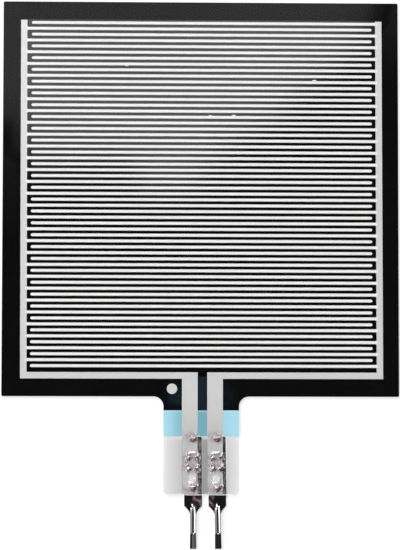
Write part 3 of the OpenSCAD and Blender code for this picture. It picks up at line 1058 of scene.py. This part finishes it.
def silver_print(side, name, replaced, tree, material):
    """One electrode: rail, run and trace with the claws' slits, its comb of fingers and its drops, which
    paint highlights.
    """
    made = bmesh.new()
    pink_reflection_and_shade = made.verts.layers.float.new("pink_reflection_and_shade")
    s = (-1, 1)[side]
    outline = wavy(stepped(rail_outline(side, s), RAIL_STEP), *RAIL_WAVE, 3 + side)
    within = offset_loop(outline, 0.03)
    ends = (0, SLIT_POINTS // 2)
    holes = [h for h in slit_loops(side, SILVER_SLIT_GAP) if all(inside(*h[end], outline) for end in ends)]
    inner = [p for p in crimp_grid(SILVER_GRID, holes) if inside(*p, within)]
    add_slab(made, outline, holes, inner, Z_SILVER, Z_FRONT, lift_at, SILVER_BEVEL, [(pink_reflection_and_shade, pink_reflection_and_shade_at)])
    made.transform(Matrix.Scale(MM, 4))
    broad = len(made.verts)
    fingers = printed_fingers(tree, {
        "Count": FINGER_COUNT[side],
        "First Y": (FIRST_FINGER_Y - FINGER_PITCH * (1 - side)) * MM,
        "Step Y": -2 * FINGER_PITCH * MM,
        "Root X": (RAIL_OUT[side] - s * (RAIL_W - ROOT_OVERLAP)) * MM,
        "Tip X": (RAIL_OUT[1 - side] + s * (RAIL_W + TIP_GAP)) * MM,
        "Width": FINGER_W * MM, "Thickness": (Z_FRONT - Z_SILVER - HAIR) * MM,
        "Level": (Z_FRONT + Z_SILVER - HAIR) / 2 * MM,
        "Wobble": FINGER_WOBBLE * MM, "Unevenness": FINGER_UNEVEN,
        "Seed": 0.1 * (1 + side), "Ink": material,
    })
    shares = [item.value for item in fingers.attributes["edge"].data]
    fingers.attributes.remove(fingers.attributes["edge"])
    made.from_mesh(fingers)
    for *drop, at in GLINT_DROPS:
        if at == side:
            add_glint_drop(made, *drop)
    line = made.verts.layers.float.new("line")
    edge = made.verts.layers.float.new("edge")
    made.verts.ensure_lookup_table()
    for vert in made.verts[broad:]:
        vert[line] = 1
    for vert, share in zip(made.verts[broad:], shares):
        vert[edge] = share
    new_piece(name, made, material, replaced, 1)


# Shader groups


def new_group(name, **inputs):
    """A shader node group with a vector and some numbers as inputs, and what those give."""
    tree = bpy.data.node_groups.new(name, "ShaderNodeTree")
    tree.interface.new_socket("Vector", in_out="INPUT", socket_type="NodeSocketVector")
    for socket, value in spaced(inputs).items():
        made = tree.interface.new_socket(socket, in_out="INPUT", socket_type="NodeSocketFloat")
        made.default_value = value
    return tree, node(tree, "NodeGroupInput").outputs


def close_group(tree, **outputs):
    """Gives a group its outputs."""
    for name in outputs:
        tree.interface.new_socket(name, in_out="OUTPUT", socket_type="NodeSocketFloat")
    node(tree, "NodeGroupOutput", outputs)
    return tree


def grain_group():
    """Speckle and clouds of a printed or coated layer."""
    tree, given = new_group("Print grain", Speckle_Scale=9000.0, Cloud_Scale=300.0, Speckle=0.1, Clouds=0.1)
    fine = speckles(given["Vector"], given["Speckle Scale"])
    broad = speckles(given["Vector"], given["Cloud Scale"])
    uneven = plus(times(minus(fine, 0.5), given["Speckle"]), times(minus(broad, 0.5), given["Clouds"]))
    return close_group(tree, Tone=plus(1.0, uneven), Height=fine)


def scratch_group():
    """Fine scratches, stretched along one direction."""
    tree, given = new_group("Fine scratches", Scale=1500.0, Stretch=0.04, Sparseness=0.62)
    squeeze = joined(tree, X=1.0, Y=given["Stretch"], Z=1.0)
    drawn = node(tree, "VectorMath", {0: given["Vector"], 1: squeeze}, operation="MULTIPLY").outputs[0]
    lines = speckles(drawn, given["Scale"], 4.0)
    mask = ranged(lines, given["Sparseness"], plus(given["Sparseness"], 0.1), eased=True)
    return close_group(tree, Mask=mask, Height=lines)


def tail_shadow_group():
    """Painted shadow on the tail: darkest between the contacts and fading outwards from them, with painted
    shade that darkens down the tail.
    """
    tree, given = new_group("Tail greying")
    x, y, _ = split(given["Vector"])
    left, right = OUTER_EDGES
    between = between_x(x, *INNER_EDGES)
    on_left = maths("LESS_THAN", x, left * MM)
    on_right = maths("GREATER_THAN", x, right * MM)
    left_shadow = ranged_mm(x, left - SHADOW_REACH[0], left, 0.0, SHADOW_SHARE[0], eased=True)
    right_shadow = ranged_mm(x, right, right + SHADOW_REACH[1], SHADOW_SHARE[1], 0.0, eased=True)
    beside = plus(times(left_shadow, on_left), times(right_shadow, on_right))
    return close_group(tree, Shade=plus(between, beside), Down=ranged_mm(y, -20, -25),
                       Between=between, Left=on_left, Right=on_right)


GROUPS = {"grain": grain_group(), "scratches": scratch_group(), "greying": tail_shadow_group()}


# Materials


def new_material(name):
    """A material without nodes, its tree and Object coordinates."""
    material = bpy.data.materials.new(name)
    material.use_nodes = True
    tree = material.node_tree
    tree.nodes.clear()
    return material, tree, node(tree, "TexCoord").outputs["Object"]


def show(material, shader):
    """Links a shader to its material's output and gives the material back."""
    node(material.node_tree, "OutputMaterial", {"Surface": shader})
    return material


def use_group(spot, key, **inputs):
    """A shared group placed in a material, with its own values."""
    sockets = {"Vector": spot, **spaced(inputs)}
    return node(spot.id_data, "Group", sockets, node_tree=GROUPS[key]).outputs


def bumped(height, distance, strength=0.6):
    """Normal of a Bump node."""
    return put(height.id_data, "Bump", Height=height, Distance=distance, Strength=strength)


def coat(colour, tone, **inputs):
    """A Principled shader of a colour that a tone makes lighter or darker."""
    tree = tone.id_data
    tinted = node(tree, "VectorMath", {0: colour, "Scale": tone}, operation="SCALE").outputs[0]
    return put(tree, "BsdfPrincipled", Base_Color=tinted, **inputs)


def silver_material():
    """Screen-printed silver: pale, matte, with fine flakes and greyer on broad areas; painted light makes
    it lighter towards the upper left, painted shade greys it down the tail, and a painted pinkish
    reflection of the claws' exposed bronze, with painted shade, tints it round them.
    """
    material, tree, spot = new_material("Silver ink")
    grain = use_group(spot, "grain", Speckle_Scale=16000.0, Cloud_Scale=260.0, Speckle=0.16, Clouds=0.05)
    grey = use_group(spot, "greying")
    x, y, _ = split(spot)
    # Painted light: the silver is lighter towards the upper left, where the light falls more strongly
    lean = minus(y, times(x, 0.35))
    height = maths("POWER", ranged_mm(lean, -20, 24), 2.0)
    broad = blend(height, (0.675, 0.675, 0.67, 1), (0.795, 0.795, 0.79, 1))
    # Painted shade: greyer down the tail
    broad = blend(grey["Down"], broad, (0.56, 0.56, 0.555, 1))
    # Painted pinkish reflection of the claws' exposed bronze, with patches of painted shade, on the silver
    # round them
    patches = ranged(speckles(spot, 4000.0), 0.38, 0.62, 0.15, 1.0)
    broad = blend(times(mesh_layer(tree, "pink_reflection_and_shade"), patches), broad, (0.3, 0.185, 0.23, 1))
    edge = ranged(mesh_layer(tree, "edge"), 0.55, 0.98, eased=True)
    printed = blend(edge, (0.92, 0.92, 0.915, 1), (0.22, 0.22, 0.225, 1))
    base = blend(mesh_layer(tree, "line"), broad, printed)
    return show(material, coat(base, grain["Tone"], Metallic=0.0, Roughness=0.5, Specular_IOR_Level=0.5,
                               Normal=bumped(grain["Height"], 0.000004)))


def film_material():
    """Clear polyester: a clean gloss, faintly hazy and grey, darkened by painted shadow beside and between
    the contacts, and whitened by stress, by painted highlights at its cut end, on its ridges and round its
    slits, and by a painted reflection over the plates' strips.
    """
    material, tree, spot = new_material("Clear film")
    scratches = use_group(spot, "scratches", Scale=900.0, Stretch=0.05, Sparseness=0.66)
    waves = use_group(spot, "grain", Speckle_Scale=500.0, Cloud_Scale=120.0)
    grey = use_group(spot, "greying")
    x, y, _ = split(spot)
    past_band = ranged_mm(y, BAND_END, BAND_END - 0.4)
    # Painted shadow of the contacts on the tail, darkest between them, over a faint grey tint of the film
    tint_and_shadow = times(grey["Between"], 0.365)
    for beside, start, end, shades in (
        ("Left", TAIL_SIDES[0], OUTER_EDGES[0], (0.075, 0.205)),
        ("Right", OUTER_EDGES[1], TAIL_SIDES[1], (0.18, 0.07)),
    ):
        tint_and_shadow = plus(tint_and_shadow, times(ranged_mm(x, start, end, *shades), grey[beside]))
    # Painted reflection: a mottled pale cast over the plates' strips beside the traces, standing in for the
    # metal's sheen below
    strips = plus(*(between_x(x, *edges) for edges in STRIPS))
    strip_sheen = times(ranged(speckles(spot, 2800.0, 4.0), 0.35, 0.65, 0.012, 0.085), strips, past_band)
    # Painted highlights: along the film's cut end, and on its ridges, round its slits and at the silver's
    # torn edge, with stress whitening
    white = maths("MAXIMUM", times(mesh_layer(tree, "end_glint"), 0.75), times(mesh_layer(tree, "strain_and_glint"), 0.8))
    white = maths("MAXIMUM", white, strip_sheen)
    tint_and_shadow = times(tint_and_shadow, past_band, minus(1.0, strips))
    haze_shade_and_glints = maths("ADD", maths("MAXIMUM", tint_and_shadow, white), times(scratches["Mask"], 0.01), clamp=True)
    # Dark where it paints shadow, pale where it paints highlights
    shade_and_white_colour = blend(ranged(white, 0.01, 0.06), (0.02, 0.02, 0.02, 1), (0.91, 0.91, 0.905, 1))
    shade_and_white = put(tree, "BsdfDiffuse", Color=shade_and_white_colour)
    clear = put(tree, "BsdfTransparent", Color=(0.998, 0.997, 0.997, 1))
    body = mixed(haze_shade_and_glints, clear, shade_and_white)
    normal = bumped(waves["Height"], 0.000001)
    gloss = put(tree, "BsdfGlossy", Color=(1, 1, 1, 1), Roughness=0.02, Normal=normal)
    mirror = put(tree, "Fresnel", IOR=1.6, Normal=normal)
    outside = minus(1.0, node(tree, "NewGeometry").outputs["Backfacing"])
    return show(material, mixed(times(mirror, outside), body, gloss))


def thin_ink(spot, x, y):
    """Mask of where the blue ink beside the traces is too thin to show over the black."""
    shown = ranged(speckles(spot, 480.0), 0.35, 0.6, 0.35, 1.0, eased=True)
    for axis, start, end, shades in (
        (y, -18.8, -19.5, (0.2, 1.0)), (y, -20.5, -21.05, (1.0, 0.15)),
        (x, -3.6, -3.0, (0.0, 1.0)), (x, 2.2, 2.5, (1.0, 0.55)), (x, 2.8, 3.7, (1.0, 0.3)),
    ):
        shown = times(shown, ranged_mm(axis, start, end, *shades, eased=True))
    off_middle = maths("ABSOLUTE", minus(x, sum(TRACE_X) / 2 * MM))
    return times(ranged_mm(off_middle, 1.0, 1.3), minus(1.0, shown))


def blue_material():
    """Blue insulating ink: dark over the black coating, pale beyond it, greyer between the traces and
    beside them by painted shadow.
    """
    material, _, spot = new_material("Blue ink")
    grain = use_group(spot, "grain", Speckle_Scale=12000.0, Cloud_Scale=400.0, Speckle=0.06, Clouds=0.05)
    shade = use_group(spot, "greying")["Shade"]
    x, y, _ = split(spot)
    backed = ranged_mm(y, REAR_TAIL_END - 0.01, REAR_TAIL_END + 0.02)
    edge = times(ranged_mm(y, REAR_TAIL_END - 0.22, REAR_TAIL_END - 0.1), 0.3)
    # Painted shadow: greyer between the traces and fading out beside them
    pale = blend(shade, (0.445, 0.77, 0.90, 1), (0.205, 0.445, 0.53, 1))
    pale = blend(edge, pale, (0.62, 0.86, 0.95, 1))
    # Painted shadow also tints the dark blue between the traces
    navy = blend(shade, (0.0035, 0.010, 0.0165, 1), (0.0085, 0.0175, 0.0245, 1))
    navy = blend(thin_ink(spot, x, y), navy, (0.0015, 0.0016, 0.002, 1))
    return show(material, coat(blend(backed, pale, navy), grain["Tone"], Roughness=0.55,
                               Specular_IOR_Level=0.05, Normal=bumped(grain["Height"], 0.000003)))


def black_material(name, index, roughness, base):
    """A near black layer with a fine grain and faint clouds."""
    material, _, spot = new_material(name)
    grain = use_group(spot, "grain", Speckle_Scale=9000.0, Cloud_Scale=350.0, Speckle=0.6, Clouds=0.5)
    dull = ranged(grain["Tone"], 0.7, 1.3, roughness * 1.2, roughness * 0.8)
    return show(material, coat(base, grain["Tone"], Roughness=dull, IOR=index,
                               Normal=bumped(grain["Height"], 0.0000006)))


def plate_reflection(tree, spot, mottle, tone):
    """Painted pinkish reflection, in streaks, on the plates below the film: its mask and its shader."""
    x, y, z = split(spot)
    middle = maths("ABSOLUTE", minus(x, PLATE_REFLECTION_X * MM))
    strayed = plus(middle, times(minus(mottle, 0.5), 0.9 * MM))
    start, end = PLATE_REFLECTION_Y
    below = times(ranged_mm(y, start, start + 0.3), ranged_mm(y, end, end - 0.1))
    flat = ranged_mm(z, SHEET_T + 0.003, SHEET_T + 0.015, 0.95, 0.0)
    mask = times(ranged_mm(strayed, 1.2, 0.98, eased=True), below, flat)
    waves = {"Vector": spot, "Scale": 650.0, "Distortion": 7.0, "Detail": 3.0, "Detail Scale": 1.6}
    swirl = node(tree, "TexWave", waves, bands_direction="DIAGONAL").outputs["Fac"]
    streaks = times(ranged(swirl, 0.3, 1.0, eased=True), ranged(mottle, 0.35, 0.6, 0.35, 1.0),
                    ranged(speckles(spot, 4500.0), 0.35, 0.65, 0.6, 1.15))
    reflection_paint = blend(streaks, (0.018, 0.008, 0.012, 1), (0.215, 0.15, 0.17, 1))
    return mask, coat(reflection_paint, tone, Roughness=0.55, Specular_IOR_Level=0.2, Normal=bumped(swirl, 0.000004))


def metal_material():
    """Tinned bronze: bright tin with rolling lines, maroon where the tin is torn off and where shade is
    painted on the claws, pinkish patches, and a painted pinkish reflection on the plates below the film.
    """
    material, tree, spot = new_material("Tinned bronze")
    grain = use_group(spot, "grain", Speckle_Scale=7000.0, Cloud_Scale=1500.0, Speckle=0.2, Clouds=0.3)
    tone = grain["Tone"]
    lines = use_group(spot, "scratches", Scale=5000.0, Stretch=0.05, Sparseness=0.55)["Height"]
    # Maroon where the claws are torn to the bronze and where shade is painted on them
    torn = mesh_layer(tree, "bare")
    x, y, _ = split(spot)
    mottle = speckles(spot, 1300.0, 4.0)
    # Pinkish patches on the metal above the pins
    pink_patches = times(ranged(mottle, 0.55, 0.7, 0.0, 0.3, eased=True), ranged_mm(y, -30.8, -30.5))
    bare = maths("MAXIMUM", torn, pink_patches)
    rosy = blend(ranged(bare, 0.05, 0.35), (0.82, 0.81, 0.81, 1), (0.62, 0.4, 0.45, 1))
    base = blend(ranged(bare, 0.4, 0.88), rosy, (0.055, 0.017, 0.028, 1))
    tip = times(ranged_mm(y, TIP_Y, TIP_Y - 0.15), ranged_mm(x, 0.0, 1.0, 0.8, 0.3),
                ranged_mm(x, -0.9, -0.84, 0.1, 1.0), ranged(lines, 0.4, 0.6, 0.8, 1.2))
    clawed = maths("GREATER_THAN", torn, 0.01)
    dull = plus(times(tone, 0.09), times(clawed, 0.16), times(torn, 0.15), times(tip, 0.22))
    metal = minus(1.0, times(torn, 0.9))
    tin = coat(base, tone, Metallic=metal, Roughness=dull, Normal=bumped(lines, 0.000003, 0.4))
    # Painted pinkish reflection on the plates below the film
    mask, reflection_paint = plate_reflection(tree, spot, mottle, tone)
    return show(material, mixed(mask, tin, reflection_paint))


def dress(name, material):
    """Gives a node that stays as it is its finish."""
    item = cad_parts[name]
    for place in item.material_slots:
        place.material = material


# Studio


def glowing(strength):
    """White light of a strength."""
    return put(strength.id_data, "Emission", Color=(1, 1, 1, 1), Strength=strength)


def floor_material():
    """Pale floor that shows white and keeps the object's shadow, clear when seen from below."""
    material, tree, _ = new_material("Floor")
    path = node(tree, "LightPath").outputs
    seen = maths("MAXIMUM", path["Is Camera Ray"],
                 maths("MAXIMUM", path["Is Glossy Ray"], path["Is Transmission Ray"]))
    paint = put(tree, "BsdfDiffuse", Color=(0.38, 0.38, 0.38, 1))
    both = node(tree, "AddShader", {0: paint, 1: glowing(times(seen, FLOOR_GLOW))}).outputs[0]
    below = node(tree, "NewGeometry").outputs["Backfacing"]
    return show(material, mixed(below, both, put(tree, "BsdfTransparent")))


def card_material():
    """Soft light card with fading edges."""
    material, tree, spot = new_material("Light card")
    level = ranged(speckles(spot, 14.0), 0.3, 0.7, *CARD_LEVELS)
    return show(material, glowing(times(level, mesh_layer(tree, "fade"))))


def mirrored(px, py):
    """Where a light card must be for its mirror image in the film to show at a place in the picture."""
    camera = Vector(CAMERA_AT)
    x, y = (px - PICTURE_MIDDLE[0]) / PIXELS_PER_MM, (PICTURE_MIDDLE[1] - py) / PIXELS_PER_MM
    ray = Vector((x - camera.x, y - camera.y, camera.z))
    spread = CARD_HEIGHT / ray.z
    return x + ray.x * spread, y + ray.y * spread


def faded_row(made, fade, points, shares, height):
    """Vertices of a light card, each with its share of the card's light."""
    row = []
    for (x, y), share in zip(points, shares):
        row.append(made.verts.new((x, y, height)))
        row[-1][fade] = share
    return row


def light_card(material):
    """Card above the film whose mirror image is the pale patch at its upper left."""
    points = stepped([mirrored(px, py) for px, py in CARD_OUTLINE], CARD_STEP)
    made = bmesh.new()
    fade = made.verts.layers.float.new("fade")
    rows = []
    for by, share in CARD_FADE:
        rows.append(faded_row(made, fade, offset_loop(points, by), [share] * len(points), CARD_HEIGHT))
    bridge(made, rows)
    made.faces.new(rows[-1])
    new_object("light_card", made, material)


def edge_glows(material):
    """Dim cards whose mirror images fade down the borders of the film."""
    for n, (columns, steps) in enumerate(EDGE_GLOWS):
        made = bmesh.new()
        fade = made.verts.layers.float.new("fade")
        grid = []
        for py, down in steps:
            points = [mirrored(px, py) for px, _ in columns]
            shares = [over * down for _, over in columns]
            grid.append(faded_row(made, fade, points, shares, GLOW_HEIGHT))
        for a, b in zip(grid, grid[1:]):
            for i in range(len(columns) - 1):
                made.faces.new((a[i], b[i], b[i + 1], a[i + 1]))
        new_object("edge_glow_%d" % n, made, material)


def area_light(name, azimuth, off_zenith, distance, size, radiance):
    """Square soft box round the object, turned to it."""
    data = bpy.data.lights.new(name, "AREA")
    data.shape = "SQUARE"
    data.size = size
    data.energy = radiance * math.pi * size * size
    lamp = bpy.data.objects.new(name, data)
    bpy.context.scene.collection.objects.link(lamp)
    a, t = math.radians(azimuth), math.radians(off_zenith)
    flat = distance * math.sin(t)
    lamp.location = (flat * math.cos(a), flat * math.sin(a), distance * math.cos(t))
    lamp.rotation_euler = (-lamp.location).to_track_quat("-Z", "Y").to_euler()


def studio_world():
    """White where the camera sees it, and a soft grey room with a brighter west side elsewhere."""
    world = bpy.data.worlds.new("Studio")
    world.use_nodes = True
    tree = world.node_tree
    tree.nodes.clear()
    x, y, z = split(node(tree, "TexCoord").outputs["Generated"])
    west = minus(times(y, 0.64), times(x, 0.77))
    bright = ranged(west, -0.25, 0.6, 0.06, 1.05, eased=True)
    walls = times(ranged(z, 0.845, 0.97, 1.0, 0.0, eased=True), ranged(z, 0.05, 0.5, 0.08, 1.0, eased=True))
    seen = node(tree, "LightPath").outputs["Is Camera Ray"]
    level = put(tree, "Mix", Factor=seen, A=plus(times(walls, bright), 0.01), B=1.0)
    sky = put(tree, "Background", Color=(1, 1, 1, 1), Strength=level)
    node(tree, "OutputWorld", {"Surface": sky})
    return world


def studio():
    """Floor, world, lamps, light cards and camera."""
    scene = bpy.context.scene
    made = bmesh.new()
    bmesh.ops.create_grid(made, x_segments=1, y_segments=1, size=FLOOR_HALF)
    floor = new_object("floor", made, floor_material(), 1)
    floor.location.z = -FLOOR_GAP * MM
    scene.world = studio_world()
    for name, values in LAMPS.items():
        area_light(name, *values)
    card = card_material()
    light_card(card)
    edge_glows(card)

    data = bpy.data.cameras.new("camera")
    data.lens = CAMERA_LENS
    data.clip_start = 0.01
    camera = bpy.data.objects.new("camera", data)
    camera.location = Vector(CAMERA_AT) * MM
    camera.rotation_euler = CAMERA_TURN
    scene.collection.objects.link(camera)
    scene.camera = camera
    scene.view_settings.view_transform = "Standard"


# Scene


studio()
silver = silver_material()
metal = metal_material()
front_film(film_material())
comb = comb_tree()
silver_print(0, "silver_left", "electrode_left", comb, silver)
silver_print(1, "silver_right", "electrode_right", comb, silver)
crimp_contact(0, "crimp_left", "contact_left", metal)
crimp_contact(1, "crimp_right", "contact_right", metal)
dress("marker_dot", silver)
dress("dielectric_band", blue_material())
dress("spacer_adhesive", black_material("Adhesive", 1.05, 0.5, (0.0038, 0.0038, 0.004)))
dress("carbon_layer", black_material("Black coating", 2.3, 0.05, (0.002, 0.002, 0.0022)))
dress("pressure_film", black_material("Rear film", 1.5, 0.35, (0.012, 0.012, 0.013)))
